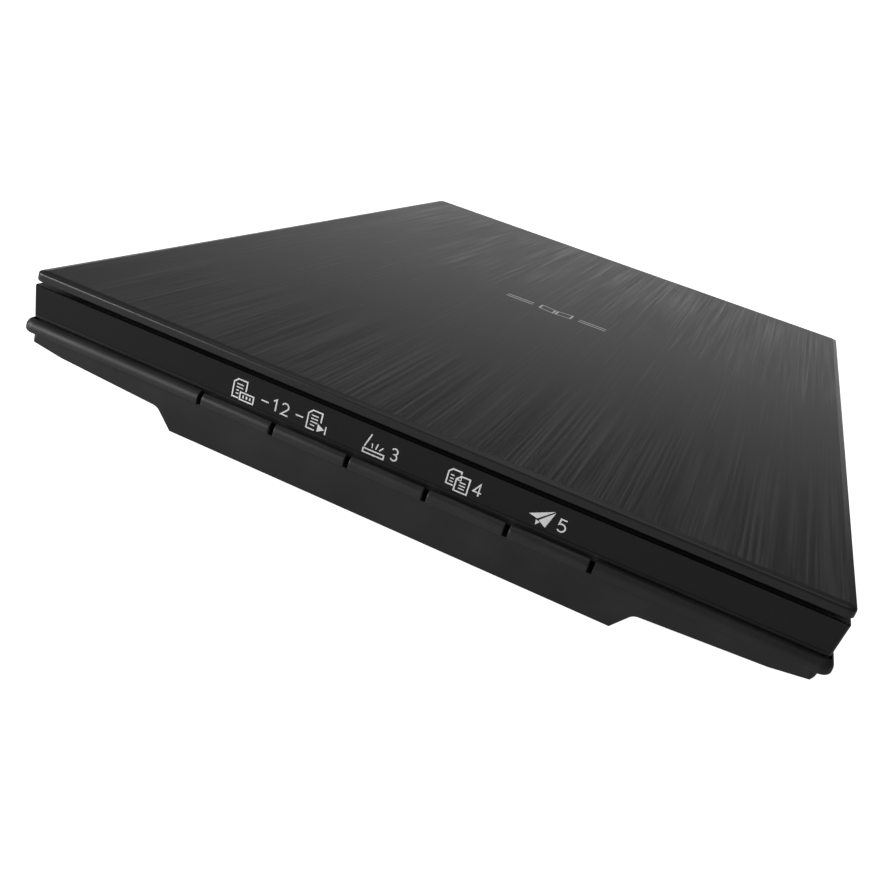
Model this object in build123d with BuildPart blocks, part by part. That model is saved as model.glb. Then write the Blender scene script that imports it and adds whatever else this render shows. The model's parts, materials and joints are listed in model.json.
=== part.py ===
from build123d import *
import math
import os

# Thin flatbed scanner with a lifting lid, in millimetres.
# +Z is up, -Y is the front with the buttons, and +Y is the hinge side.
# The origin is the centre of the footprint, on the surface that the feet stand on.

# ---- driving dimensions ----
WIDTH, DEPTH, HEIGHT = 248.0, 367.0, 42.0  # over the band round the waist, and from the feet to the lid's top
WALL = 2.0  # moulded walls
FIT = 0.15  # clearance round a piece that slides or drops in

# levels, from the table up
FLOOR_Z = 2.0  # underside of the belly; the feet stand out below it
INNER_FLOOR_Z = FLOOR_Z + WALL
BAND_Z0, BAND_Z1 = 22.7, 26.8  # the band that carries the buttons
LEDGE_Z = 25.0  # where the upper case stands on the lower one
UPPER_Z0, UPPER_Z1 = 27.0, 37.2  # visible wall of the upper case
DECK_Z = 29.5  # lowered strip behind the platen, under the lid's rear
TOP_SKIN = 1.6  # top plate of the upper case
LID_Z0, LID_Z1 = 38.7, HEIGHT
LID_SKIN = 1.5
INNER_PANEL_Z = 38.0  # underside of the lid's inner panel

# plan sizes, as half widths and half depths
LID_X, LID_Y = 123.0, 181.5
UPPER_X, UPPER_Y = 122.4, 180.4  # at the foot of its wall
UPPER_LEAN = 0.8  # how much further out the wall stands at its top
TUB_X, TUB_Y = 121.4, 182.0
GROOVE = 0.6  # open groove between the band and the upper case
DECK_Y = 169.5  # front edge of the lowered strip

# platen
GLASS_X, GLASS_Y0, GLASS_Y1 = 114.5, -156.0, 157.0
GLASS_T, TAPE_T = 2.8, 0.3
WINDOW_X, WINDOW_Y0, WINDOW_Y1 = 110.5, -151.0, 152.0
SKIN_Z0 = UPPER_Z1 - TOP_SKIN
GLASS_Z1 = SKIN_Z0 - TAPE_T
GLASS_Z0 = GLASS_Z1 - GLASS_T

# buttons
BUTTON_NAMES = ("finish", "next", "scan", "copy", "send")
BUTTON_PITCH, BUTTON_GAP = 24.1, 1.3
STEM_Z0, STEM_Z1 = 23.4, 24.8
BUTTON_BOARD_Y, BUTTON_BOARD_Z0 = -166.6, 18.0  # front face and lower edge of the board behind the buttons
SWITCH_DEPTH, PLUNGER_OUT = 3.5, 1.5

# hinges
HINGE_X, HINGE_Y, HINGE_Z = 88.0, 176.0, 36.4
RISER_X, RISER_Y = 9.0, 2.6  # half sizes of the sliding post
BARREL_R, PIN_R, RUNNING = 2.8, 1.5, 0.05
BARREL_X, RISER_TOP = 6.0, 31.4  # half length of the post's barrel, and the post's shoulder

# main board behind the rear wall, and the flat cable from it to the sensor
MAIN_Y, MAIN_BOARD_Z0, BOARD_T = 171.4, 6.0, 1.6
PORT_X, PORT_Z = -25.0, 14.0
RIBBON_X, RIBBON_HALF = -32.0, 8.0

# scanning carriage at its home place
HOME_Y, CARRIAGE_Y = -147.5, 15.0  # centre, and half the length of the drive block
ROD_R, ROD_Z, ROD_Y0, ROD_Y1 = 3.0, 13.0, -168.5, 170.0
SADDLE_YS, SADDLE_HALF = (-166.2, 168.4), 1.6  # where the rod rests
BUSH_R = 5.0
TRAY_X, TRAY_Z = 108.0, 20.4
SENSOR_X, SENSOR_Y, SENSOR_Z0, SENSOR_Z1 = 114.0, 9.0, 22.0, 31.6

# gear train: motor pinion -> large gear; small gear on the same hub -> rack
PRESSURE = math.radians(25)
MOTOR_TEETH, LARGE_TEETH, TRAIN_MODULE = 12, 48, 0.5
SMALL_TEETH, RACK_MODULE = 14, 0.8
BACKLASH = 0.12
GEAR_X = 27.0
MOTOR_X = GEAR_X + TRAIN_MODULE * (MOTOR_TEETH + LARGE_TEETH) / 2
RACK_PITCH_X = GEAR_X - RACK_MODULE * SMALL_TEETH / 2
RACK_Y = 162.0
DRIVE_PLATE_Z0, DRIVE_PLATE_Z1 = 11.8, 13.6
LARGE_GEAR_Z0, LARGE_GEAR_Z1 = 8.9, 11.4

# feet: a large pair under the belly's front, a small pair under the hinge boxes
FRONT_FEET, FRONT_FOOT_R = [(-52.0, -148.0), (52.0, -148.0)], 7.0
REAR_FEET, REAR_FOOT_R = [(-HINGE_X, 175.0), (HINGE_X, 175.0)], 5.0
FOOT_RECESS = 0.6

# fasteners
SCREW_R, SCREW_HEAD_R, SCREW_HEAD_T, HEAD_SEAT_Z = 1.5, 3.0, 1.8, 21.0
FRONT_SCREWS = [(x, -172.5) for x in (-112.0, -67.0, 67.0, 112.0)]
REAR_SCREWS = [(x, 174.0) for x in (-111.0, -60.5, 60.5, 111.0)]

# kickstand under the right-hand wing
STAND_X, STAND_Z, STAND_Y, STAND_REACH = 118.5, 13.5, 60.0, 36.0
STAND_R, STAND_PIN_R = 2.6, 1.25

os.makedirs("parts", exist_ok=True)


def save(piece, label):
    """Names a finished piece and writes its STEP file."""
    piece.part.label = label
    export_step(piece.part, f"parts/{label}.step")


def block(x0, x1, y0, y1, z0, z1, mode=Mode.ADD):
    """A box between two corners, added to the builder it is called in."""
    with Locations(((x0 + x1) / 2, (y0 + y1) / 2, (z0 + z1) / 2)):
        return Box(x1 - x0, y1 - y0, z1 - z0, mode=mode)


def rod_along(axis, radius, centre, length, mode=Mode.ADD):
    """A cylinder along X, Y or Z, centred on a point."""
    turn = {"X": (0, 90, 0), "Y": (90, 0, 0), "Z": (0, 0, 0)}[axis]
    with Locations(centre):
        return Cylinder(radius, length, rotation=turn, mode=mode)


# ---- lower case ----
# Its front view steps down from two thin wings to a deep belly. These are the right half and the side view.
STEP_X, STEP_Z = 74.8, 15.8  # where a wing turns down into the belly
WING_OUTLINE = [
    (TUB_X, LEDGE_Z),
    (TUB_X, 20.9),
    (120.0, 19.6),
    (110.0, 18.0),
    (STEP_X, STEP_Z),
    (70.0, 9.2),
    (64.0, FLOOR_Z),
]
SIDE_OUTLINE = [
    (-TUB_Y, LEDGE_Z),
    (-TUB_Y, BAND_Z0),
    (-179.0, 9.2),
    (-164.0, FLOOR_Z),
    (178.0, FLOOR_Z),
    (TUB_Y, 6.0),
    (TUB_Y, LEDGE_Z),
]
TUB_CORNER_R = 3.5
STEP_FILLET = 3.0
BAND_CORNER_R, BAND_TOP_R = 4.0, 2.4
SOCKET_X, SOCKET_Y = 13.4, 168.5  # half width and front of the boxes that hold the hinge guides


def tub(shrink, top):
    """The tub's solid, with its sides taken in by shrink and its top at the height given."""
    with BuildPart() as body:
        with BuildSketch(Plane.XZ) as front_view:
            with BuildLine():
                left_half = [(-x, z) for x, z in reversed(WING_OUTLINE)]
                Polyline(*WING_OUTLINE, *left_half, close=True)
            make_face()
            steps = [v for v in front_view.vertices() if abs(abs(v.X) - STEP_X) < 0.1]
            fillet(steps, STEP_FILLET)
            if shrink:
                offset(amount=-shrink, kind=Kind.INTERSECTION)
        extrude(amount=DEPTH / 2, both=True)
        with BuildSketch(Plane.YZ):
            with BuildLine():
                Polyline(*SIDE_OUTLINE, close=True)
            make_face()
            if shrink:
                offset(amount=-shrink, kind=Kind.INTERSECTION)
        extrude(amount=WIDTH / 2, both=True, mode=Mode.INTERSECT)
        with BuildSketch(Plane.XY):
            RectangleRounded(2 * (TUB_X - shrink), 2 * (TUB_Y - shrink), TUB_CORNER_R - shrink)
        extrude(amount=top, mode=Mode.INTERSECT)
        lid_face = body.faces().sort_by(Axis.Z)[-1]
        if top > lid_face.center().Z:
            extrude(lid_face, amount=top - lid_face.center().Z)
    return body.part


def hinge_boxes(shrink, top):
    """The two deep boxes at the rear, under the hinges."""
    with BuildPart() as boxes:
        for side in (-1, 1):
            centre = side * HINGE_X
            half = SOCKET_X - shrink
            block(centre - half, centre + half, SOCKET_Y + shrink, TUB_Y - shrink, FLOOR_Z + shrink, top)
    return boxes.part


RIB_XS, RIB_HALF = (-40.0, 40.0), 3.0
BUTTON_RIB_Z, MAIN_RIB_Z = 20.0, 8.0

with BuildPart() as inner_posts:  # screw columns, rod saddles and board ribs, trimmed to the tub's walls
    for x, y in FRONT_SCREWS + REAR_SCREWS:
        rod_along("Z", 4.4, (x, y, LEDGE_Z / 2), LEDGE_Z)
    for y in SADDLE_YS:
        block(-7, 7, y - SADDLE_HALF, y + SADDLE_HALF, 0, ROD_Z)
    for x in RIB_XS:
        block(x - RIB_HALF, x + RIB_HALF, -168.6, -163.4, 0, BUTTON_RIB_Z)
        block(x - RIB_HALF, x + RIB_HALF, 169.4, 175.0, 0, MAIN_RIB_Z)
    add(tub(WALL / 4, LEDGE_Z), mode=Mode.INTERSECT)

with BuildPart() as lower_case:
    add(tub(0, LEDGE_Z))
    add(hinge_boxes(0, LEDGE_Z))
    # the band, with a groove inside it that the upper case drops into
    with BuildSketch(Plane.XY.offset(BAND_Z0)):
        RectangleRounded(WIDTH, DEPTH, BAND_CORNER_R)
    extrude(amount=BAND_Z1 - BAND_Z0)
    band_edges = lower_case.faces().sort_by(Axis.Z)[-1].outer_wire().edges()
    fillet(band_edges, BAND_TOP_R)
    band_under = [
        e for e in lower_case.edges().filter_by_position(Axis.Z, BAND_Z0 - 0.01, BAND_Z0 + 0.01)
        if abs(e.center().Y) > TUB_Y + 1 or abs(e.center().X) > TUB_X + 1.5
    ]
    fillet(band_under, 0.9)
    with BuildSketch(Plane.XY.offset(LEDGE_Z)):
        RectangleRounded(2 * (UPPER_X + GROOVE), 2 * (UPPER_Y + GROOVE), 2.2)
    extrude(amount=BAND_Z1, mode=Mode.SUBTRACT)
    # hollow
    add(tub(WALL, BAND_Z1 + 1), mode=Mode.SUBTRACT)
    add(hinge_boxes(WALL, BAND_Z1), mode=Mode.SUBTRACT)
    # slot that the buttons fill
    row = BUTTON_PITCH * len(BUTTON_NAMES) / 2 + BUTTON_GAP / 2
    block(-row, row, -DEPTH / 2 - 1, WALL - TUB_Y, BAND_Z0, BAND_Z1 + 1, mode=Mode.SUBTRACT)
    block(-row, row, -DEPTH / 2 - 1, -175, STEM_Z0 - 0.2, LEDGE_Z + 0.1, mode=Mode.SUBTRACT)
    add(inner_posts.part)
    for x, y in FRONT_SCREWS + REAR_SCREWS:
        rod_along("Z", SCREW_R + 0.3, (x, y, 20), 30, mode=Mode.SUBTRACT)
        rod_along("Z", SCREW_HEAD_R + 0.3, (x, y, HEAD_SEAT_Z / 2), HEAD_SEAT_Z, mode=Mode.SUBTRACT)
    # seats for the rod, and slots in the ribs for the edges of the two boards
    for y in SADDLE_YS:
        rod_along("Y", ROD_R, (0, y, ROD_Z), 5, mode=Mode.SUBTRACT)
    slot = BOARD_T + 0.05
    for x in RIB_XS:
        x0, x1 = x - RIB_HALF - 1, x + RIB_HALF + 1
        block(x0, x1, BUTTON_BOARD_Y - 0.05, BUTTON_BOARD_Y + slot, BUTTON_BOARD_Z0, 21, mode=Mode.SUBTRACT)
        block(x0, x1, MAIN_Y - 0.05, MAIN_Y + slot, MAIN_BOARD_Z0, 9, mode=Mode.SUBTRACT)
    # recesses for the feet, and the socket's window in the rear wall
    with BuildSketch(Plane.XY.offset(FLOOR_Z)):
        with Locations(*FRONT_FEET):
            Circle(FRONT_FOOT_R + FIT)
        with Locations(*REAR_FEET):
            Circle(REAR_FOOT_R + FIT)
    extrude(amount=FOOT_RECESS, mode=Mode.SUBTRACT)
    block(PORT_X - 4.9, PORT_X + 4.9, 178, 184, PORT_Z - 2.1, PORT_Z + 2.1, mode=Mode.SUBTRACT)
    # lugs for the kickstand
    for y in (-STAND_Y - 3.0, STAND_Y + 3.0):
        block(STAND_X - 3, STAND_X + 3, y - 2, y + 2, STAND_Z, 20.5)
        rod_along("Y", 3.0, (STAND_X, y, STAND_Z), 4)
        rod_along("Y", STAND_PIN_R, (STAND_X, y, STAND_Z), 6, mode=Mode.SUBTRACT)
save(lower_case, "lower_case")

with BuildPart() as rubber_feet:
    with BuildSketch():
        with Locations(*FRONT_FEET):
            Circle(FRONT_FOOT_R)
        with Locations(*REAR_FEET):
            Circle(REAR_FOOT_R)
    extrude(amount=FLOOR_Z + FOOT_RECESS)
    fillet(rubber_feet.edges().group_by(Axis.Z)[0], 0.8)
save(rubber_feet, "rubber_feet")

# ---- upper case and front panel ----
# Its wall leans out a little. The glossy panel covers the front, set back above a thin lip.
PANEL_T, PANEL_BACK, PANEL_Z0 = 0.9, 0.2, UPPER_Z0 + 0.8

with BuildPart() as upper_outer:
    with BuildSketch(Plane.XY.offset(UPPER_Z0)):
        RectangleRounded(2 * UPPER_X, 2 * UPPER_Y, 1.6)
    with BuildSketch(Plane.XY.offset(UPPER_Z1)):
        RectangleRounded(2 * (UPPER_X + UPPER_LEAN), 2 * (UPPER_Y + UPPER_LEAN), 1.6)
    loft()
    fillet(upper_outer.faces().sort_by(Axis.Z)[0].edges(), 0.3)
    fillet(upper_outer.faces().sort_by(Axis.Z)[-1].edges(), 0.4)


def wall_layer(back0, back1):
    """A slice above the lip, between two depths behind the front wall's leaning face."""
    lean = UPPER_LEAN / (UPPER_Z1 - UPPER_Z0)
    with BuildPart() as layer:
        with BuildSketch(Plane.YZ):
            with BuildLine():
                low, high = -UPPER_Y - lean * (PANEL_Z0 - UPPER_Z0), -UPPER_Y - lean * (HEIGHT - UPPER_Z0)
                near = [(low + back0, PANEL_Z0), (high + back0, HEIGHT)]
                Polyline(*near, (high + back1, HEIGHT), (low + back1, PANEL_Z0), close=True)
            make_face()
        extrude(amount=WIDTH, both=True)
    return layer.part


with BuildPart() as control_panel:
    add(upper_outer.part)
    add(wall_layer(PANEL_BACK, PANEL_BACK + PANEL_T), mode=Mode.INTERSECT)
save(control_panel, "control_panel")

with BuildPart() as upper_case:
    add(upper_outer.part)
    add(wall_layer(-5, PANEL_BACK + PANEL_T), mode=Mode.SUBTRACT)
    with BuildSketch(Plane.XY.offset(LEDGE_Z)):  # neck that stands inside the groove
        RectangleRounded(2 * (UPPER_X - 1.2), 2 * (UPPER_Y - 1.2), 1.0)
    extrude(amount=UPPER_Z0 - LEDGE_Z + 0.1)
    block(-WIDTH, WIDTH, DECK_Y, DEPTH, DECK_Z, HEIGHT, mode=Mode.SUBTRACT)
    inner_x, inner_y, deck_wall = UPPER_X - 3, UPPER_Y - 2.6, DECK_Y - WALL
    block(-inner_x, inner_x, -inner_y, deck_wall, LEDGE_Z - 1, SKIN_Z0, mode=Mode.SUBTRACT)
    block(-inner_x, inner_x, deck_wall - 1, inner_y, LEDGE_Z - 1, DECK_Z - WALL, mode=Mode.SUBTRACT)
    with BuildSketch(Plane.XY.offset(SKIN_Z0)) as window:
        with Locations((0, (WINDOW_Y0 + WINDOW_Y1) / 2)):
            RectangleRounded(2 * WINDOW_X, WINDOW_Y1 - WINDOW_Y0, 2)
    extrude(amount=TOP_SKIN, mode=Mode.SUBTRACT)
    for x, y in FRONT_SCREWS:
        rod_along("Z", 4.2, (x, y, (LEDGE_Z + SKIN_Z0 + 0.5) / 2), SKIN_Z0 - LEDGE_Z + 0.5)
        rod_along("Z", SCREW_R, (x, y, 29.5), 9.0, mode=Mode.SUBTRACT)
    for x, y in REAR_SCREWS:
        rod_along("Z", 4.2, (x, y, (LEDGE_Z + DECK_Z - 1) / 2), DECK_Z - 1 - LEDGE_Z)
        rod_along("Z", SCREW_R, (x, y, 26.5), 3.4, mode=Mode.SUBTRACT)
    for side in (-1, 1):  # openings that the hinge posts rise through
        x, half_x, half_y = side * HINGE_X, RISER_X + 0.6, RISER_Y + 0.6
        block(x - half_x, x + half_x, HINGE_Y - half_y, HINGE_Y + half_y, 24, 31, mode=Mode.SUBTRACT)
save(upper_case, "upper_case")

with BuildPart() as platen_glass:
    block(-GLASS_X, GLASS_X, GLASS_Y0, GLASS_Y1, GLASS_Z0, GLASS_Z1)
    chamfer(platen_glass.edges().filter_by(Axis.Z), 1.0)
save(platen_glass, "platen_glass")

with BuildPart() as glass_tape:
    block(-GLASS_X, GLASS_X, GLASS_Y0, GLASS_Y1, GLASS_Z1, SKIN_Z0)
    inner_x = WINDOW_X + 1
    block(-inner_x, inner_x, WINDOW_Y0 - 1, WINDOW_Y1 + 1, GLASS_Z1 - 1, SKIN_Z0 + 1, mode=Mode.SUBTRACT)
save(glass_tape, "glass_tape")

with BuildPart() as calibration_strip:
    block(-WINDOW_X, WINDOW_X, HOME_Y - 4, HOME_Y + 4, GLASS_Z0 - 0.2, GLASS_Z0)
save(calibration_strip, "calibration_strip")

with BuildPart() as case_screws:
    for x, y in FRONT_SCREWS + REAR_SCREWS:
        reach = 33.0 if y < 0 else 28.0
        head_z = HEAD_SEAT_Z - SCREW_HEAD_T
        rod_along("Z", SCREW_R, (x, y, (HEAD_SEAT_Z + reach) / 2), reach - HEAD_SEAT_Z)
        rod_along("Z", SCREW_HEAD_R, (x, y, HEAD_SEAT_Z - SCREW_HEAD_T / 2), SCREW_HEAD_T)
        for half_x, half_y in ((2.0, 0.3), (0.3, 2.0)):  # cross slot
            block(x - half_x, x + half_x, y - half_y, y + half_y, head_z, head_z + 0.8, mode=Mode.SUBTRACT)
save(case_screws, "case_screws")

# ---- buttons and their board ----
PLUNGER_TIP_Y = BUTTON_BOARD_Y - SWITCH_DEPTH - PLUNGER_OUT
STEM_Z = (STEM_Z0 + STEM_Z1) / 2
CAP_X = (BUTTON_PITCH - BUTTON_GAP) / 2
CAP_REAR_Y = -UPPER_Y - GROOVE - 0.9  # leaves the cap room to be pressed in

for place, name in enumerate(BUTTON_NAMES):
    x = (place - (len(BUTTON_NAMES) - 1) / 2) * BUTTON_PITCH
    with BuildPart() as button:
        block(x - CAP_X, x + CAP_X, -DEPTH / 2, -UPPER_Y, BAND_Z0 + 0.2, BAND_Z1)
        front = button.faces().sort_by(Axis.Y)[0]
        fillet(front.edges().sort_by(Axis.Z)[-1], BAND_TOP_R - 0.2)
        fillet(button.faces().sort_by(Axis.Y)[0].edges().sort_by(Axis.Z)[0], 0.7)
        for end in button.faces().filter_by(Axis.X):
            fillet([e for e in end.edges() if e.center().Y < -UPPER_Y - 0.05], 0.4)
        block(x - CAP_X - 1, x + CAP_X + 1, CAP_REAR_Y, 1 - UPPER_Y, BAND_Z0, BAND_Z1 + 1, mode=Mode.SUBTRACT)
        block(x - 6, x + 6, CAP_REAR_Y - 0.1, PLUNGER_TIP_Y, STEM_Z0, STEM_Z1)
    save(button, f"button_{name}")
    with BuildPart() as plunger:
        rod_along("Y", 1.7, (x, PLUNGER_TIP_Y + 1.3, STEM_Z), 2.6)
    save(plunger, f"plunger_{name}")

with BuildPart() as switch_bodies:
    for place in range(len(BUTTON_NAMES)):
        x = (place - (len(BUTTON_NAMES) - 1) / 2) * BUTTON_PITCH
        block(x - 3, x + 3, BUTTON_BOARD_Y - SWITCH_DEPTH, BUTTON_BOARD_Y, STEM_Z - 3, STEM_Z + 3)
        rod_along("Y", 1.75, (x, BUTTON_BOARD_Y - SWITCH_DEPTH + 1.0, STEM_Z), 2.6, mode=Mode.SUBTRACT)
save(switch_bodies, "switch_bodies")

with BuildPart() as button_board:
    block(-62, 62, BUTTON_BOARD_Y, BUTTON_BOARD_Y + BOARD_T, BUTTON_BOARD_Z0, 31)
save(button_board, "button_board")

# ---- lid ----
SKIRT_Z, SKIRT_T, NOTCH_Z = 33.0, 2.0, 39.5
BEVEL_IN, BEVEL_DOWN, LID_CORNER_R = 2.3, 0.5, 2.6

# inlaid mark near the lid's middle: an open book between two pairs of bars
MARK_X, MARK_Y, MARK_T = -2.0, 3.0, 0.3
PAGE_X, PAGE_Y, PAGE_SLANT, LINE_T = 7.5, 4.5, 1.6, 0.9  # a page's width, half height and slant, and its line
BAR_X0, BAR_X1, BAR_DY, BAR_T = 10.5, 23.0, 1.6, 1.1


def mark_shapes():
    """The inlaid mark's outlines, as a sketch on the lid's top."""
    with BuildSketch(Plane.XY.offset(LID_Z1)) as mark:
        for side in (-1, 1):
            with BuildLine():  # a page, with its outer edge raised
                inner, outer = MARK_X + side * LINE_T / 4, MARK_X + side * PAGE_X
                low, high = MARK_Y - PAGE_Y, MARK_Y + PAGE_Y
                edge = [(outer, low + PAGE_SLANT), (outer, high)]
                Polyline((inner, low), *edge, (inner, high - PAGE_SLANT), close=True)
            make_face()
        offset(amount=-LINE_T, mode=Mode.SUBTRACT)
        for side in (-1, 1):
            for dy in (-BAR_DY, BAR_DY):
                with Locations((MARK_X + side * (BAR_X0 + BAR_X1) / 2, MARK_Y + dy)):
                    SlotOverall(BAR_X1 - BAR_X0, BAR_T)
    return mark.sketch


with BuildPart() as lid_cover:
    with BuildSketch(Plane.XY.offset(LID_Z0)):
        RectangleRounded(2 * LID_X, 2 * LID_Y, LID_CORNER_R)
    extrude(amount=LID_Z1 - BEVEL_DOWN - LID_Z0)
    with BuildSketch(Plane.XY.offset(LID_Z1 - BEVEL_DOWN)):
        RectangleRounded(2 * LID_X, 2 * LID_Y, LID_CORNER_R)
    with BuildSketch(Plane.XY.offset(LID_Z1)):
        RectangleRounded(2 * (LID_X - BEVEL_IN), 2 * (LID_Y - BEVEL_IN), 0.8)
    loft()
    crease = LID_Z1 - BEVEL_DOWN
    fillet(lid_cover.edges().filter_by_position(Axis.Z, crease - 0.01, crease + 0.01), 0.9)
    fillet(lid_cover.faces().sort_by(Axis.Z)[0].edges(), 0.5)
    block(-LID_X + 2, LID_X - 2, -LID_Y + 2, LID_Y - 2, LID_Z0 - 1, LID_Z1 - LID_SKIN, mode=Mode.SUBTRACT)
    block(-LID_X + 3, LID_X - 3, LID_Y - SKIRT_T - 0.3, LID_Y - 0.3, SKIRT_Z, LID_Z1 - LID_SKIN + 0.2)
    for side in (-1, 1):  # gaps that the hinge posts swing into
        x = side * HINGE_X
        block(x - 11.5, x + 11.5, LID_Y - 5, LID_Y + 1, SKIRT_Z - 1, NOTCH_Z, mode=Mode.SUBTRACT)
    extrude(mark_shapes(), amount=-MARK_T, mode=Mode.SUBTRACT)
save(lid_cover, "lid_cover")

PANEL_X, PANEL_Y0, PANEL_Y1 = 118.5, -177.0, 171.0
LEAF_SCREW_DX, LEAF_SCREW_YS = (-9.0, 9.0), (153.0, 163.0)
PLATE_T = 1.2
with BuildPart() as lid_inner_panel:
    skin_z = LID_Z1 - LID_SKIN
    block(-PANEL_X, PANEL_X, PANEL_Y0, PANEL_Y1, INNER_PANEL_Z, skin_z)
    fillet(lid_inner_panel.edges().filter_by(Axis.Z), 3)
    inner_x, plate_z = PANEL_X - 2, INNER_PANEL_Z + PLATE_T
    block(-inner_x, inner_x, PANEL_Y0 + 2, PANEL_Y1 - 2, plate_z, skin_z + 1, mode=Mode.SUBTRACT)
    for x in (-59.0, 0.0, 59.0):
        block(x - 0.6, x + 0.6, PANEL_Y0 + 1, PANEL_Y1 - 1, INNER_PANEL_Z + 1, skin_z)
    for y in (-117.0, -58.5, 0.0, 58.5, 117.0):
        block(-PANEL_X + 1, PANEL_X - 1, y - 0.6, y + 0.6, INNER_PANEL_Z + 1, skin_z)
    for side in (-1, 1):
        x = side * HINGE_X
        block(x - 16, x + 16, 169, 172, INNER_PANEL_Z - 1, skin_z + 1, mode=Mode.SUBTRACT)
        for dx in LEAF_SCREW_DX:
            for y in LEAF_SCREW_YS:
                rod_along("Z", 1.1, (x + dx, y, 38.5), 4, mode=Mode.SUBTRACT)
save(lid_inner_panel, "lid_inner_panel")

PAD_X, PAD_Y0, PAD_Y1 = 108.0, -148.5, 149.0
PAD_Z0, SHEET_T = GLASS_Z1 + 0.3, 0.4
with BuildPart() as pad_foam:
    block(-PAD_X + 1.5, PAD_X - 1.5, PAD_Y0 + 1.5, PAD_Y1 - 1.5, PAD_Z0 + SHEET_T, INNER_PANEL_Z)
    fillet(pad_foam.edges().filter_by(Axis.Z), 3)
save(pad_foam, "pad_foam")

with BuildPart() as pad_sheet:
    block(-PAD_X, PAD_X, PAD_Y0, PAD_Y1, PAD_Z0, PAD_Z0 + SHEET_T)
    fillet(pad_sheet.edges().filter_by(Axis.Z), 3)
save(pad_sheet, "pad_sheet")

with BuildPart() as lid_bumpers:
    for x in (-114.5, 114.5):
        for y in (-168.0, 160.0):
            rod_along("Z", 2.5, (x, y, (UPPER_Z1 + 0.1 + INNER_PANEL_Z) / 2), INNER_PANEL_Z - UPPER_Z1 - 0.1)
save(lid_bumpers, "lid_bumpers")

with BuildPart() as lid_badge:
    extrude(mark_shapes(), amount=-MARK_T)
save(lid_badge, "lid_badge")

# ---- hinges ----
LEAF_X, LEAF_Y0, LEAF_Z0 = 14.0, 148.0, INNER_PANEL_Z + PLATE_T
LEAF_Z1 = LID_Z1 - LID_SKIN
KNUCKLE = (BARREL_X + 0.3, BARREL_X + 4.5)

with BuildPart() as hinge_screws:
    for side in (-1, 1):
        for dx in LEAF_SCREW_DX:
            for y in LEAF_SCREW_YS:
                x, head_z = side * HINGE_X + dx, INNER_PANEL_Z - 0.5
                rod_along("Z", 1.0, (x, y, (INNER_PANEL_Z + LEAF_Z1) / 2), LEAF_Z1 - INNER_PANEL_Z)
                rod_along("Z", 2.4, (x, y, INNER_PANEL_Z - 0.25), 0.5)
                block(x - 1.5, x + 1.5, y - 0.25, y + 0.25, head_z, head_z + 0.3, mode=Mode.SUBTRACT)
save(hinge_screws, "hinge_screws")

for side, hand in ((-1, "left"), (1, "right")):
    cx = side * HINGE_X
    with BuildPart() as leaf:
        block(cx - LEAF_X, cx + LEAF_X, LEAF_Y0, 171.5, LEAF_Z0, LEAF_Z1)
        # plate that carries the knuckles past the inner panel's edge
        for x0, x1 in ((-KNUCKLE[1], -KNUCKLE[0]), KNUCKLE):
            block(cx + x0, cx + x1, 170.2, HINGE_Y, HINGE_Z + 0.4, LEAF_Z0 + 0.1)
            middle = cx + (x0 + x1) / 2
            rod_along("X", BARREL_R, (middle, HINGE_Y, HINGE_Z), x1 - x0)
            rod_along("X", PIN_R + RUNNING, (middle, HINGE_Y, HINGE_Z), 6, mode=Mode.SUBTRACT)
        for dx in LEAF_SCREW_DX:
            for y in LEAF_SCREW_YS:
                rod_along("Z", 1.0, (cx + dx, y, LEAF_Z0), 4, mode=Mode.SUBTRACT)
    save(leaf, f"hinge_leaf_{hand}")

    with BuildPart() as riser:
        block(cx - RISER_X, cx + RISER_X, HINGE_Y - RISER_Y, HINGE_Y + RISER_Y, 5.0, RISER_TOP)
        chamfer(riser.faces().sort_by(Axis.Z)[0].edges(), 0.8)
        block(cx - BARREL_X, cx + BARREL_X, HINGE_Y - 2.2, HINGE_Y + 2.2, RISER_TOP - 0.5, HINGE_Z)
        rod_along("X", BARREL_R, (cx, HINGE_Y, HINGE_Z), 2 * BARREL_X)
        rod_along("X", PIN_R, (cx, HINGE_Y, HINGE_Z), 2 * BARREL_X + 2, mode=Mode.SUBTRACT)
        # a hollow in the post's front face
        block(cx - 6, cx + 6, HINGE_Y - RISER_Y - 1, HINGE_Y - 1.2, 8, 29, mode=Mode.SUBTRACT)
    save(riser, f"hinge_riser_{hand}")

    with BuildPart() as pin:
        rod_along("X", PIN_R, (cx, HINGE_Y, HINGE_Z), 2 * KNUCKLE[1])
    save(pin, f"hinge_pin_{hand}")

with BuildPart() as hinge_guides:
    for side in (-1, 1):
        cx = side * HINGE_X
        half_x, half_y = RISER_X + 2, RISER_Y + 2
        block(cx - half_x, cx + half_x, HINGE_Y - half_y, TUB_Y - WALL - 0.1, INNER_FLOOR_Z, 24.8)
        half_x, half_y = RISER_X + FIT, RISER_Y + FIT
        block(cx - half_x, cx + half_x, HINGE_Y - half_y, HINGE_Y + half_y, 0, 30, mode=Mode.SUBTRACT)
save(hinge_guides, "hinge_guides")


# ---- gear train ----
def involute(base, radius):
    """How far round an involute has turned from its base circle when it reaches a radius, in radians."""
    ratio = math.sqrt(max(0.0, (radius / base) ** 2 - 1))
    return ratio - math.atan(ratio)


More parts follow.
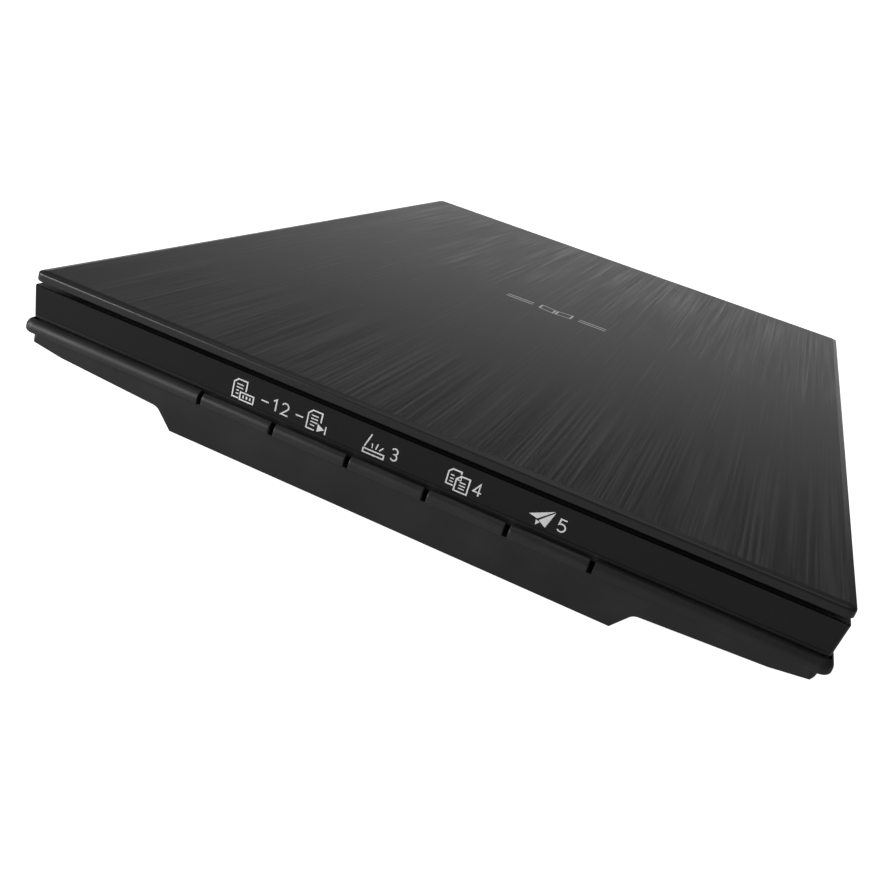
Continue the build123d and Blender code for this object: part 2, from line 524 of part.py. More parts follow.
def gear_outline(teeth, module, phase):
    """Points round a spur gear. A tooth is centred on the phase angle, in degrees."""
    pitch_r = module * teeth / 2
    base_r, tip_r, root_r = pitch_r * math.cos(PRESSURE), pitch_r + 0.95 * module, pitch_r - 1.25 * module
    half_tooth = math.pi / (2 * teeth) - BACKLASH / (4 * pitch_r) + involute(base_r, pitch_r)
    start_r = max(base_r, root_r)
    flank = [start_r + (tip_r - start_r) * step / 4 for step in range(5)]
    points = []
    for tooth in range(teeth):
        middle = math.radians(phase) + 2 * math.pi * tooth / teeth
        rising = [(r, middle - half_tooth + involute(base_r, r)) for r in flank]
        falling = [(r, middle + half_tooth - involute(base_r, r)) for r in reversed(flank)]
        foot = [(root_r, rising[0][1])] if start_r > root_r else []
        toe = [(root_r, falling[-1][1])] if start_r > root_r else []
        points += [(r * math.cos(a), r * math.sin(a)) for r, a in foot + rising + falling + toe]
    return points


def spur(x, y, teeth, module, phase, z0, z1):
    """A spur gear's solid about a vertical axis, added to the builder it is called in."""
    with BuildSketch(Plane.XY.offset(z0)) as profile:
        with BuildLine():
            Polyline(*[(x + px, y + py) for px, py in gear_outline(teeth, module, phase)], close=True)
        make_face()
    extrude(profile.sketch, amount=z1 - z0)


SMALL_GEAR_Z0 = 4.9
with BuildPart() as drive_gear:
    # a gap of the large gear faces the motor, and a tooth of the small one faces the rack
    spur(GEAR_X, HOME_Y, LARGE_TEETH, TRAIN_MODULE, 180 / LARGE_TEETH, LARGE_GEAR_Z0, LARGE_GEAR_Z1)
    spur(GEAR_X, HOME_Y, SMALL_TEETH, RACK_MODULE, 180, SMALL_GEAR_Z0, LARGE_GEAR_Z0)
    rod_along("Z", PIN_R + RUNNING, (GEAR_X, HOME_Y, 8), 12, mode=Mode.SUBTRACT)
save(drive_gear, "drive_gear")

with BuildPart() as gear_axle:
    axle_z0 = SMALL_GEAR_Z0 - 0.6
    rod_along("Z", PIN_R, (GEAR_X, HOME_Y, (axle_z0 + DRIVE_PLATE_Z1) / 2), DRIVE_PLATE_Z1 - axle_z0)
    rod_along("Z", 2.4, (GEAR_X, HOME_Y, axle_z0 + 0.25), 0.5)
save(gear_axle, "gear_axle")

with BuildPart() as motor_pinion:
    spur(MOTOR_X, HOME_Y, MOTOR_TEETH, TRAIN_MODULE, 180, LARGE_GEAR_Z0 - 0.3, LARGE_GEAR_Z1 + 0.2)
    rod_along("Z", 1.0, (MOTOR_X, HOME_Y, 14.5), 6.0)
save(motor_pinion, "motor_pinion")

MOTOR_R, MOTOR_TOP = 10.0, 20.2
with BuildPart() as motor_case:
    rod_along("Z", MOTOR_R, (MOTOR_X, HOME_Y, (DRIVE_PLATE_Z1 + MOTOR_TOP) / 2), MOTOR_TOP - DRIVE_PLATE_Z1)
    fillet(motor_case.edges().sort_by(Axis.Z)[-1], 0.8)
    with BuildSketch(Plane.XY.offset(DRIVE_PLATE_Z1)):
        with Locations((MOTOR_X, HOME_Y)):
            SlotCenterToCenter(24, 5.6, rotation=90)
    extrude(amount=1.0)
    rod_along("Z", 1.0 + RUNNING, (MOTOR_X, HOME_Y, 14), 8, mode=Mode.SUBTRACT)
    for dy in (-12.0, 12.0):
        rod_along("Z", 1.1, (MOTOR_X, HOME_Y + dy, 14), 4, mode=Mode.SUBTRACT)
save(motor_case, "motor_case")

with BuildPart() as motor_screws:
    for dy in (-12.0, 12.0):
        rod_along("Z", 1.0, (MOTOR_X, HOME_Y + dy, 13.4), 3.0)
        rod_along("Z", 2.0, (MOTOR_X, HOME_Y + dy, 15.3), 1.4)
        y = HOME_Y + dy
        block(MOTOR_X - 1.4, MOTOR_X + 1.4, y - 0.25, y + 0.25, 15.4, 16.1, mode=Mode.SUBTRACT)
save(motor_screws, "motor_screws")

with BuildPart() as drive_rack:
    pitch = math.pi * RACK_MODULE
    count = int(2 * RACK_Y / pitch)
    half_at_pitch = pitch / 4 - BACKLASH / 4
    lean = math.tan(PRESSURE)
    tip, root = 0.95 * RACK_MODULE, 1.25 * RACK_MODULE
    teeth = []
    for tooth in range(count):
        # a gap is centred on the carriage's home place
        y = HOME_Y + pitch * (tooth + 0.5 - (HOME_Y + RACK_Y) // pitch)
        teeth += [
            (RACK_PITCH_X - root, y - half_at_pitch - root * lean),
            (RACK_PITCH_X + tip, y - half_at_pitch + tip * lean),
            (RACK_PITCH_X + tip, y + half_at_pitch - tip * lean),
            (RACK_PITCH_X - root, y + half_at_pitch + root * lean),
        ]
    with BuildSketch(Plane.XY.offset(INNER_FLOOR_Z)):
        with BuildLine():
            Polyline((14.5, teeth[0][1]), *teeth, (14.5, teeth[-1][1]), close=True)
        make_face()
    extrude(amount=8.4 - INNER_FLOOR_Z)
save(drive_rack, "drive_rack")

# ---- guide rod ----
with BuildPart() as guide_rod:
    rod_along("Y", ROD_R, (0, (ROD_Y0 + ROD_Y1) / 2, ROD_Z), ROD_Y1 - ROD_Y0)
    chamfer(guide_rod.edges(), 0.5)
save(guide_rod, "guide_rod")

with BuildPart() as rod_clips:
    for y in SADDLE_YS:
        block(-7, 7, y - SADDLE_HALF + 0.2, y + SADDLE_HALF - 0.2, ROD_Z, ROD_Z + 4.4)
        rod_along("Y", ROD_R, (0, y, ROD_Z), 5, mode=Mode.SUBTRACT)
        rod_along("Z", 1.0, (0, y, ROD_Z + 4), 4, mode=Mode.SUBTRACT)
save(rod_clips, "rod_clips")

# ---- carriage ----
SPRING_X, SPRING_DY, SPRING_R, SPRING_WIRE, CUP_Z = 62.0, 6.0, 2.4, 0.5, 14.0

with BuildPart() as carriage_frame:
    y0, y1 = HOME_Y - CARRIAGE_Y, HOME_Y + CARRIAGE_Y
    block(-TRAY_X, TRAY_X, HOME_Y - 12, HOME_Y + 12, TRAY_Z, TRAY_Z + 6)
    block(-TRAY_X - 1, TRAY_X + 1, HOME_Y - 10.8, HOME_Y + 10.8, TRAY_Z + 1, TRAY_Z + 7, mode=Mode.SUBTRACT)
    block(-8, 8, y0, y1, 7.5, TRAY_Z + 0.1)
    block(7, 58, y0, y1, DRIVE_PLATE_Z0, DRIVE_PLATE_Z1)
    block(56, 58, HOME_Y - 11, HOME_Y + 11, DRIVE_PLATE_Z0, TRAY_Z + 0.1)
    for side in (-1, 1):
        x, y = side * SPRING_X, HOME_Y + SPRING_DY
        rod_along("Z", 4.0, (x, y, (CUP_Z + TRAY_Z + 1) / 2), TRAY_Z + 1 - CUP_Z)
        rod_along("Z", 3.2, (x, y, CUP_Z + 11), 20, mode=Mode.SUBTRACT)
    rod_along("Y", ROD_R + 0.4, (0, HOME_Y, ROD_Z), 2 * CARRIAGE_Y + 2, mode=Mode.SUBTRACT)
    for dy in (-CARRIAGE_Y + 3.0, CARRIAGE_Y - 3.0):
        rod_along("Y", BUSH_R, (0, HOME_Y + dy, ROD_Z), 6, mode=Mode.SUBTRACT)
    rod_along("Z", PIN_R, (GEAR_X, HOME_Y, 12), 6, mode=Mode.SUBTRACT)
    rod_along("Z", 3.9, (MOTOR_X, HOME_Y, 12), 6, mode=Mode.SUBTRACT)
    for dy in (-12.0, 12.0):
        rod_along("Z", 1.0, (MOTOR_X, HOME_Y + dy, 13), 6, mode=Mode.SUBTRACT)
    # gap in the tray's front wall for the ribbon
    gap_x0, gap_x1 = RIBBON_X - RIBBON_HALF - 1, RIBBON_X + RIBBON_HALF + 1
    block(gap_x0, gap_x1, HOME_Y - 13, HOME_Y - 10, TRAY_Z + 1, TRAY_Z + 7, mode=Mode.SUBTRACT)
save(carriage_frame, "carriage_frame")

with BuildPart() as rod_bushes:
    for dy in (-CARRIAGE_Y + 3.0, CARRIAGE_Y - 3.0):
        rod_along("Y", BUSH_R, (0, HOME_Y + dy, ROD_Z), 6)
    rod_along("Y", ROD_R + RUNNING, (0, HOME_Y, ROD_Z), 40, mode=Mode.SUBTRACT)
save(rod_bushes, "rod_bushes")

BOARD_DY0, BOARD_DY1 = -7.5, 3.0
with BuildPart() as sensor_housing:
    block(-SENSOR_X, SENSOR_X, HOME_Y - SENSOR_Y, HOME_Y + SENSOR_Y, SENSOR_Z0, SENSOR_Z1)
    fillet(sensor_housing.faces().sort_by(Axis.Z)[-1].edges().filter_by(Axis.X), 0.8)
    block(-110, 110, HOME_Y - 5.5, HOME_Y + 5.5, SENSOR_Z0 + 2, SENSOR_Z1 + 1, mode=Mode.SUBTRACT)
    block(-111, 111, HOME_Y - 6.5, HOME_Y + 6.5, SENSOR_Z1 - 0.6, SENSOR_Z1 + 1, mode=Mode.SUBTRACT)
    block(-111, 111, HOME_Y + BOARD_DY0, HOME_Y + BOARD_DY1, SENSOR_Z0 - 1, SENSOR_Z0 + 1, mode=Mode.SUBTRACT)
    block(-109, 109, HOME_Y - 1.3, HOME_Y + 1.3, SENSOR_Z0, SENSOR_Z0 + 3, mode=Mode.SUBTRACT)
save(sensor_housing, "sensor_housing")

with BuildPart() as sensor_window:
    block(-111, 111, HOME_Y - 6.5, HOME_Y + 6.5, SENSOR_Z1 - 0.6, SENSOR_Z1)
save(sensor_window, "sensor_window")

with BuildPart() as lens_array:
    block(-109, 109, HOME_Y - 1.3, HOME_Y + 1.3, SENSOR_Z0 + 1.2, SENSOR_Z1 - 1.2)
save(lens_array, "lens_array")

with BuildPart() as light_guide:
    rod_along("X", 1.8, (0, HOME_Y - 3.5, SENSOR_Z1 - 3.2), 219)
    block(-109.5, 109.5, HOME_Y - 5.4, HOME_Y - 2.4, SENSOR_Z0 + 2, SENSOR_Z1 - 4.2)
save(light_guide, "light_guide")

with BuildPart() as sensor_board:
    block(-111, 111, HOME_Y + BOARD_DY0, HOME_Y + BOARD_DY1, SENSOR_Z0, SENSOR_Z0 + 1)
save(sensor_board, "sensor_board")

with BuildPart() as glide_pads:
    for side in (-1, 1):
        block(side * 112.6 - 1.2, side * 112.6 + 1.2, HOME_Y - 7, HOME_Y + 7, SENSOR_Z1, GLASS_Z0 - 0.1)
    fillet(glide_pads.edges().filter_by(Axis.Z), 0.6)
save(glide_pads, "glide_pads")

with BuildPart() as sensor_springs:
    for side in (-1, 1):
        coil_z0, coil_z1 = CUP_Z + 1 + SPRING_WIRE / 2, SENSOR_Z0 - SPRING_WIRE / 2
        with BuildLine(Plane.XY) as coil:
            foot = (side * SPRING_X, HOME_Y + SPRING_DY, coil_z0)
            Helix((coil_z1 - coil_z0) / 5, coil_z1 - coil_z0, SPRING_R, center=foot)
        with BuildSketch(Plane(coil.line @ 0, z_dir=coil.line % 0)):
            Circle(SPRING_WIRE / 2)
        sweep(is_frenet=True)
save(sensor_springs, "sensor_springs")

# ---- boards, socket and ribbons ----
with BuildPart() as main_board:
    block(-54, 54, MAIN_Y, MAIN_Y + BOARD_T, MAIN_BOARD_Z0, 24)
save(main_board, "main_board")

with BuildPart() as board_chips:
    # each chip's centre, half sizes and depth
    chips = ((6, 15, 6, 6, 1.4), (28, 14, 4, 3, 1.2), (44, 18, 3, 2.5, 1.0), (-10, 12, 2.5, 2, 1.8))
    for x, z, half_x, half_z, deep in chips:
        block(x - half_x, x + half_x, MAIN_Y - deep, MAIN_Y, z - half_z, z + half_z)
    for x in (18, 36, 50):  # round capacitors
        rod_along("Y", 2.0, (x, MAIN_Y - 1.5, 21), 3.0)
save(board_chips, "board_chips")

with BuildPart() as ribbon_connectors:
    block(RIBBON_X - 10, RIBBON_X + 10, MAIN_Y - 2.6, MAIN_Y, 9.4, 12.2)
    block(RIBBON_X - 8.2, RIBBON_X + 8.2, MAIN_Y - 2.7, MAIN_Y - 0.4, 10.5, 11.0, mode=Mode.SUBTRACT)
    block(-60, -54, BUTTON_BOARD_Y + 1.6, BUTTON_BOARD_Y + 3.2, 21.5, 28.5)
    block(-53, -47, MAIN_Y - 2.0, MAIN_Y, 16.5, 23.5)
save(ribbon_connectors, "ribbon_connectors")

with BuildPart() as usb_port:
    back_of_board = MAIN_Y + BOARD_T
    with BuildSketch(Plane.XZ.offset(-back_of_board)):
        with Locations((PORT_X, PORT_Z)):
            SlotOverall(9.0, 3.3)
    extrude(amount=back_of_board - (TUB_Y - 0.4))
    with BuildSketch(Plane.XZ.offset(-back_of_board - 1.4)):
        with Locations((PORT_X, PORT_Z)):
            SlotOverall(8.4, 2.7)
    extrude(amount=-12, mode=Mode.SUBTRACT)
    block(PORT_X - 3.3, PORT_X + 3.3, back_of_board + 1.2, TUB_Y - 1.6, PORT_Z - 0.35, PORT_Z + 0.35)
save(usb_port, "usb_port")


def ribbon(points, radii, plane, half_width, thick=0.25):
    """A flat cable as wide as twice half_width, swept along straight runs and arcs that lie in one plane."""
    with BuildPart() as cable:
        with BuildLine() as route:
            FilletPolyline(*points, radius=radii)
        start = route.line @ 0
        with BuildSketch(Plane(origin=start, x_dir=plane, z_dir=route.line % 0)):
            Rectangle(2 * half_width, thick)
        sweep()
    return cable


# The ribbon lies on the floor. Its moving half is a little higher, so that it can fold over the fixed one.
FOLD_Y, FIXED_Z, MOVING_Z, RISE_Y = 0.0, 4.3, 4.7, -161.8
SENSOR_PLUG_Z = 23.8
scan_ribbon = ribbon(
    [
        (RIBBON_X, MAIN_Y - 1.0, 10.75),
        (RIBBON_X, 160, 10.75),
        (RIBBON_X, 153, FIXED_Z),
        (RIBBON_X, FOLD_Y, FIXED_Z),
        (RIBBON_X, FOLD_Y - 8, MOVING_Z),
        (RIBBON_X, RISE_Y, MOVING_Z),
        (RIBBON_X, RISE_Y, SENSOR_PLUG_Z),
        (RIBBON_X, HOME_Y - SENSOR_Y - 0.1, SENSOR_PLUG_Z),
    ],
    [3, 3, 20, 20, 3, 3],
    (1, 0, 0),
    RIBBON_HALF,
)
save(scan_ribbon, "scan_ribbon")

button_ribbon = ribbon(
    [
        (-57, BUTTON_BOARD_Y + 3.4, 24),
        (-117.6, BUTTON_BOARD_Y + 3.4, 24),
        (-117.6, 166.0, 24),
        (-58, 166.0, 20),
        (-50, MAIN_Y - 2.2, 20),
    ],
    [4, 4, 3],
    (0, 0, 1),
    2.5,
)
save(button_ribbon, "button_ribbon")

# ---- kickstand ----
STAND_Z0, STAND_Z1 = STAND_Z - (WIDTH / 2 - STAND_X), 11.0
with BuildPart() as kickstand:
    block(STAND_X - STAND_REACH, STAND_X, -STAND_Y, STAND_Y, STAND_Z0, STAND_Z1)
    chamfer(kickstand.edges().filter_by(Axis.Y).sort_by(Axis.X)[0:2], 1.2)
    fillet(kickstand.edges().filter_by(Axis.Z).sort_by(Axis.X)[0:2], 4)
    block(STAND_X - STAND_R, STAND_X + STAND_R, -STAND_Y, STAND_Y, STAND_Z0, STAND_Z)
    rod_along("Y", STAND_R, (STAND_X, 0, STAND_Z), 2 * STAND_Y)
    rod_along("Y", STAND_PIN_R + RUNNING, (STAND_X, 0, STAND_Z), 2 * STAND_Y + 2, mode=Mode.SUBTRACT)
save(kickstand, "kickstand")

with BuildPart() as kickstand_pin:
    rod_along("Y", STAND_PIN_R, (STAND_X, 0, STAND_Z), 2 * (STAND_Y + 5.0))
save(kickstand_pin, "kickstand_pin")
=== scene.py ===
"""Looks of the flatbed book scanner, in metres: +Z is up, the buttons are at -Y and the hinges at +Y."""
import json
import math

import bmesh
import bpy
from mathutils import Matrix, Vector


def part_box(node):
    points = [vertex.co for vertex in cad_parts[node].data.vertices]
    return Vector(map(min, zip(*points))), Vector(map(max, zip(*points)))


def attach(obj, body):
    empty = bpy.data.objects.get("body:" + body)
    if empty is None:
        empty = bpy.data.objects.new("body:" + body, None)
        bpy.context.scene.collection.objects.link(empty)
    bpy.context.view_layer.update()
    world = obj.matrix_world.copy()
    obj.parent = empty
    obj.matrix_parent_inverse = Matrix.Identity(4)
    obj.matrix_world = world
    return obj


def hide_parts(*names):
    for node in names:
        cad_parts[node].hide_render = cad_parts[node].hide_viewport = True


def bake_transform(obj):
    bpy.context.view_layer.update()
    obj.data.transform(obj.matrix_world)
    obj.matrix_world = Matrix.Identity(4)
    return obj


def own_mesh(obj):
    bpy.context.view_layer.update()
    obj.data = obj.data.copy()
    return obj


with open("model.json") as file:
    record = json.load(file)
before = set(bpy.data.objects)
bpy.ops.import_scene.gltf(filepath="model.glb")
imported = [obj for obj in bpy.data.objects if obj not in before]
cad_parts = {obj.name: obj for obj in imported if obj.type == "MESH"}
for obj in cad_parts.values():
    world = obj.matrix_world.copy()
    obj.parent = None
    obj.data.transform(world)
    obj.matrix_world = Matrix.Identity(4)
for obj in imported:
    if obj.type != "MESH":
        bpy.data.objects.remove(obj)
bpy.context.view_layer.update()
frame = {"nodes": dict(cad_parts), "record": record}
NODES = frame["nodes"]
MM = 0.001

LID_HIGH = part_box("lid_cover")[1]
PANEL_LOW, PANEL_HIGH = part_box("control_panel")
BED_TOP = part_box("upper_case")[1].z


# ---- node materials ----
class Surface:
    """A Principled material being built. Its methods add nodes and return their output sockets."""

    def __init__(self, name, colour, roughness, metallic=0.0, specular=0.5):
        self.material = bpy.data.materials.new(name)
        self.material.use_nodes = True
        self.tree = self.material.node_tree
        self.shader = self.tree.nodes["Principled BSDF"]
        self.set("Base Color", (*colour, 1.0))
        self.set("Roughness", roughness)
        self.set("Metallic", metallic)
        self.set("Specular IOR Level", specular)
        self.position = self.tree.nodes.new("ShaderNodeTexCoord").outputs["Object"]

    def set(self, name, value):
        """Sets an input of the shader, or links a socket to it."""
        if isinstance(value, bpy.types.NodeSocket):
            self.tree.links.new(value, self.shader.inputs[name])
        else:
            self.shader.inputs[name].default_value = value

    def node(self, kind, inputs=None, **settings):
        """Adds a node. inputs maps its sockets' names or numbers to values or to other sockets."""
        made = self.tree.nodes.new(kind)
        for key, value in settings.items():
            setattr(made, key, value)
        for key, value in (inputs or {}).items():
            if isinstance(value, bpy.types.NodeSocket):
                self.tree.links.new(value, made.inputs[key])
            else:
                made.inputs[key].default_value = value
        return made

    def math(self, operation, a, b=0.0):
        return self.node("ShaderNodeMath", {0: a, 1: b}, operation=operation).outputs[0]

    def stretched(self, x, y, z):
        """The position with each axis scaled, in features per metre."""
        return self.node("ShaderNodeMapping", {"Vector": self.position, "Scale": (x, y, z)}).outputs[0]

    def noise(self, scale, detail=3.0, rough=0.5, stretch=(1, 1, 1)):
        """Noise from 0 to 1 with its features about 1 / scale metres wide."""
        place = self.stretched(*(scale * s for s in stretch))
        settings = {"Vector": place, "Scale": 1.0, "Detail": detail, "Roughness": rough}
        return self.node("ShaderNodeTexNoise", settings).outputs[0]

    def axis(self, name):
        """The position along X, Y or Z."""
        return self.node("ShaderNodeSeparateXYZ", {0: self.position}).outputs[name]

    def ramp(self, value, low, high, to_low=0.0, to_high=1.0):
        """Maps low..high to to_low..to_high and clamps outside."""
        settings = {"Value": value, "From Min": low, "From Max": high, "To Min": to_low, "To Max": to_high}
        return self.node("ShaderNodeMapRange", settings, clamp=True).outputs[0]

    def mix(self, share, a, b):
        """Colour a where share is 0, and b where it is 1."""
        made = self.node("ShaderNodeMix", data_type="RGBA")
        for socket, value in ((made.inputs[0], share), (made.inputs[6], a), (made.inputs[7], b)):
            if isinstance(value, bpy.types.NodeSocket):
                self.tree.links.new(value, socket)
            else:
                socket.default_value = value if isinstance(value, float) else (*value, 1.0)
        return made.outputs[2]

    def bump(self, height, distance, strength=1.0):
        """Surface relief: height from 0 to 1 is distance metres deep."""
        made = self.node("ShaderNodeBump", {"Height": height, "Distance": distance, "Strength": strength})
        self.set("Normal", made.outputs[0])


def grained_plastic(name, colour, roughness, grain=0.35 * MM, relief=0.03 * MM, specular=0.4):
    """Moulded plastic with spark-eroded grain, slight mottling and rubbed patches."""
    surface = Surface(name, colour, roughness, specular=specular)
    mottle = surface.noise(60, 4)
    lighter = tuple(min(1.0, c * 1.35 + 0.004) for c in colour)
    surface.set("Base Color", surface.mix(surface.ramp(mottle, 0.35, 0.7), colour, lighter))
    rub = surface.noise(25, 5, 0.65)
    surface.set("Roughness", surface.ramp(rub, 0.35, 0.65, roughness - 0.06, roughness + 0.05))
    surface.bump(surface.noise(1 / grain, 2, 0.6), relief)
    return surface


def brushed_lid():
    """Dark hairline finish along the length of the lid's top, with a smooth border at its edges. The
    hairlines are painted lighter in the base colour: painted sheen laid on the real hairline pattern.
    """
    surface = Surface("brushed_lid", (0.015, 0.015, 0.016), 0.42, specular=0.4)
    x, y = surface.axis("X"), surface.axis("Y")
    hair = surface.noise(1900, 2, 0.6, (1, 0.009, 1))
    strands = surface.noise(950, 2, 0.5, (1, 0.012, 1))
    bands = surface.noise(70, 3, 0.6, (1, 0.05, 1))
    clouds = surface.noise(9, 2, 0.5, (1, 0.5, 1))
    lines = surface.math("MULTIPLY", hair, 0.2)
    lines = surface.math("ADD", lines, surface.math("MULTIPLY", strands, 0.6))
    lines = surface.math("ADD", lines, surface.math("MULTIPLY", bands, 0.2))
    border = 2.4 * MM
    inside_x = surface.math("LESS_THAN", surface.math("ABSOLUTE", x), LID_HIGH.x - border)
    inside_y = surface.math("LESS_THAN", surface.math("ABSOLUTE", y), LID_HIGH.y - border)
    on_top = surface.math("GREATER_THAN", surface.axis("Z"), LID_HIGH.z - 0.1 * MM)
    brushed = surface.math("MULTIPLY", surface.math("MULTIPLY", inside_x, inside_y), on_top)
    # painted sheen: the hairline streaks are much lighter in the base colour than the lid itself, standing
    # in for the light that the brushing catches
    tone = surface.ramp(lines, 0.45, 0.66)
    shade = surface.mix(tone, (0.001, 0.001, 0.0012), (0.085, 0.085, 0.088))
    shade = surface.mix(surface.ramp(clouds, 0.3, 0.7, 0.0, 0.3), shade, (0.018, 0.018, 0.019))
    surface.set("Base Color", surface.mix(brushed, (0.016, 0.016, 0.017), shade))
    sheen = surface.ramp(lines, 0.35, 0.65, 0.28, 0.44)
    flat = surface.math("MULTIPLY", surface.math("SUBTRACT", 1.0, brushed), 0.32)
    surface.set("Roughness", surface.math("ADD", surface.math("MULTIPLY", sheen, brushed), flat))
    surface.bump(surface.math("MULTIPLY", lines, brushed), 0.07 * MM, 1.0)
    return surface


def gloss_panel():
    """Polished black with fine wiping marks."""
    surface = Surface("gloss_panel", (0.008, 0.008, 0.0085), 0.12, specular=0.3)
    wiping = surface.noise(900, 3, 0.6, (0.02, 0.2, 1))
    surface.set("Roughness", surface.ramp(wiping, 0.35, 0.75, 0.10, 0.24))
    specks = surface.ramp(surface.noise(3500, 1, 0.5), 0.72, 0.8, 0.0, 0.5)
    surface.set("Base Color", surface.mix(specks, (0.008, 0.008, 0.0085), (0.03, 0.03, 0.03)))
    surface.bump(surface.noise(35, 2), 0.02 * MM, 0.5)
    return surface


def brushed_metal(name, colour, roughness, along=(1, 1, 0.02), scale=2500, metallic=1.0):
    """Metal with drawing or turning marks along one axis."""
    surface = Surface(name, colour, roughness, metallic)
    marks = surface.noise(scale, 3, 0.6, along)
    darker = tuple(c * 0.72 for c in colour)
    surface.set("Base Color", surface.mix(surface.ramp(marks, 0.35, 0.7), darker, colour))
    surface.set("Roughness", surface.ramp(marks, 0.3, 0.7, roughness - 0.08, roughness + 0.1))
    surface.bump(marks, 0.01 * MM, 0.6)
    return surface


def clear(name, colour, roughness, ior=1.5):
    """A transparent solid."""
    surface = Surface(name, colour, roughness)
    surface.set("Transmission Weight", 1.0)
    surface.set("IOR", ior)
    smear = surface.noise(40, 4, 0.6)
    surface.set("Roughness", surface.ramp(smear, 0.4, 0.8, roughness, roughness + 0.03))
    return surface


def circuit_board():
    """Green solder mask over a mesh of tracks and vias, in the plane that the board lies in."""
    surface = Surface("circuit_board", (0.02, 0.12, 0.05), 0.32)
    cells = surface.node("ShaderNodeTexVoronoi", {"Vector": surface.position, "Scale": 700.0})
    tracks = surface.ramp(surface.noise(900, 1, 0.5, (1, 1, 0.1)), 0.5, 0.53)
    shade = surface.mix(tracks, (0.012, 0.085, 0.035), (0.03, 0.17, 0.07))
    via = surface.ramp(cells.outputs[0], 0.13, 0.16, 1.0, 0.0)
    surface.set("Base Color", surface.mix(via, shade, (0.55, 0.5, 0.32)))
    surface.bump(tracks, 0.03 * MM, 0.6)
    return surface


def flat_cable():
    """White flat cable with its copper strips showing as fine lines."""
    surface = Surface("flat_cable", (0.78, 0.79, 0.8), 0.35)
    waves = {"Vector": surface.position, "Scale": 160.0}
    lines = surface.node("ShaderNodeTexWave", waves, bands_direction="X")
    shade = surface.mix(surface.ramp(lines.outputs[1], 0.4, 0.6), (0.82, 0.83, 0.84), (0.62, 0.6, 0.56))
    surface.set("Base Color", shade)
    surface.bump(lines.outputs[1], 0.04 * MM, 0.7)
    return surface


def foam():
    """Open-cell foam, its pores painted darker towards their bottoms as painted shade."""
    surface = Surface("foam", (0.06, 0.06, 0.063), 0.95, specular=0.15)
    pores = surface.node("ShaderNodeTexVoronoi", {"Vector": surface.position, "Scale": 1400.0})
    # painted shade: the base colour is darkest at the deepest points of the pores
    surface.set("Base Color", surface.mix(pores.outputs[0], (0.02, 0.02, 0.02), (0.11, 0.11, 0.115)))
    surface.bump(pores.outputs[0], 0.2 * MM)
    return surface


def white_film():
    """Bright white plastic sheet, a little uneven."""
    surface = Surface("white_film", (0.85, 0.85, 0.84), 0.3)
    drift = surface.noise(12, 3)
    surface.set("Base Color", surface.mix(drift, (0.8, 0.8, 0.785), (0.88, 0.88, 0.875)))
    surface.bump(surface.noise(18, 2), 0.15 * MM, 0.4)
    return surface


def lens_rods():
    """A row of tiny rod lenses, seen from their ends."""
    surface = Surface("lens_rods", (0.03, 0.03, 0.035), 0.2)
    rods = surface.node("ShaderNodeTexVoronoi", {"Vector": surface.stretched(1200, 1200, 0), "Scale": 1.0})
    gaps = surface.ramp(rods.outputs[0], 0.25, 0.45)
    surface.set("Base Color", surface.mix(gaps, (0.16, 0.18, 0.22), (0.01, 0.01, 0.01)))
    return surface


def milky_plastic(name, colour, roughness=0.35):
    """Unfilled acetal or nylon: a little light goes in."""
    surface = Surface(name, colour, roughness)
    surface.set("Subsurface Weight", 0.15)
    surface.set("Subsurface Scale", 0.6 * MM)
    tone = surface.noise(120, 3)
    darker = tuple(c * 0.9 for c in colour)
    surface.set("Base Color", surface.mix(tone, darker, colour))
    surface.bump(surface.noise(1500, 2), 0.01 * MM)
    return surface


BLACK = (0.0135, 0.0135, 0.0145)
SURFACES = {
    "textured_case": grained_plastic("textured_case", BLACK, 0.5),
    "satin_case": grained_plastic("satin_case", BLACK, 0.42, 0.25 * MM, 0.012 * MM),
    "button_satin": grained_plastic("button_satin", (0.017, 0.017, 0.018), 0.4, 0.25 * MM, 0.01 * MM),
    "gloss_panel": gloss_panel(),
    "lid_finish": brushed_lid(),
    "inner_plastic": grained_plastic("inner_plastic", (0.02, 0.02, 0.021), 0.48),
    "badge_silver": brushed_metal("badge_silver", (0.92, 0.92, 0.94), 0.35, (1, 0.03, 1), metallic=0.15),
    "foam": foam(),
    "white_sheet": white_film(),
    "rubber": grained_plastic("rubber", (0.012, 0.012, 0.012), 0.8, 0.5 * MM, 0.05 * MM, 0.2),
    "glass": clear("glass", (0.93, 0.985, 0.96), 0.0),
    "tape": grained_plastic("tape", (0.01, 0.01, 0.01), 0.6),
    "screw_steel": brushed_metal("screw_steel", (0.5, 0.5, 0.52), 0.35, (1, 1, 1), 1500),
    "pin_steel": brushed_metal("pin_steel", (0.66, 0.66, 0.68), 0.18, (1, 0.01, 1)),
    "spring_steel": brushed_metal("spring_steel", (0.6, 0.6, 0.62), 0.25, (1, 1, 1)),
    "motor_steel": brushed_metal("motor_steel", (0.62, 0.61, 0.58), 0.32, (1, 1, 0.05)),
    "port_steel": brushed_metal("port_steel", (0.7, 0.7, 0.72), 0.25, (1, 0.05, 1)),
    "brass": brushed_metal("brass", (0.72, 0.55, 0.25), 0.25, (1, 1, 0.1)),
    "switch_black": grained_plastic("switch_black", (0.012, 0.012, 0.012), 0.5),
    "plunger_white": milky_plastic("plunger_white", (0.78, 0.77, 0.72)),
    "board_green": circuit_board(),
    "chip_black": grained_plastic("chip_black", (0.012, 0.012, 0.013), 0.55, 0.15 * MM),
    "connector_cream": milky_plastic("connector_cream", (0.72, 0.66, 0.5)),
    "ribbon": flat_cable(),
    "acetal_grey": grained_plastic("acetal_grey", (0.06, 0.06, 0.063), 0.4),
    "acetal_black": grained_plastic("acetal_black", (0.014, 0.014, 0.015), 0.38, 0.3 * MM, 0.015 * MM),
    "acetal_white": milky_plastic("acetal_white", (0.8, 0.8, 0.76)),
    "lens_dark": lens_rods(),
    "light_guide": clear("light_guide", (0.93, 0.96, 1.0), 0.05, 1.49),
}
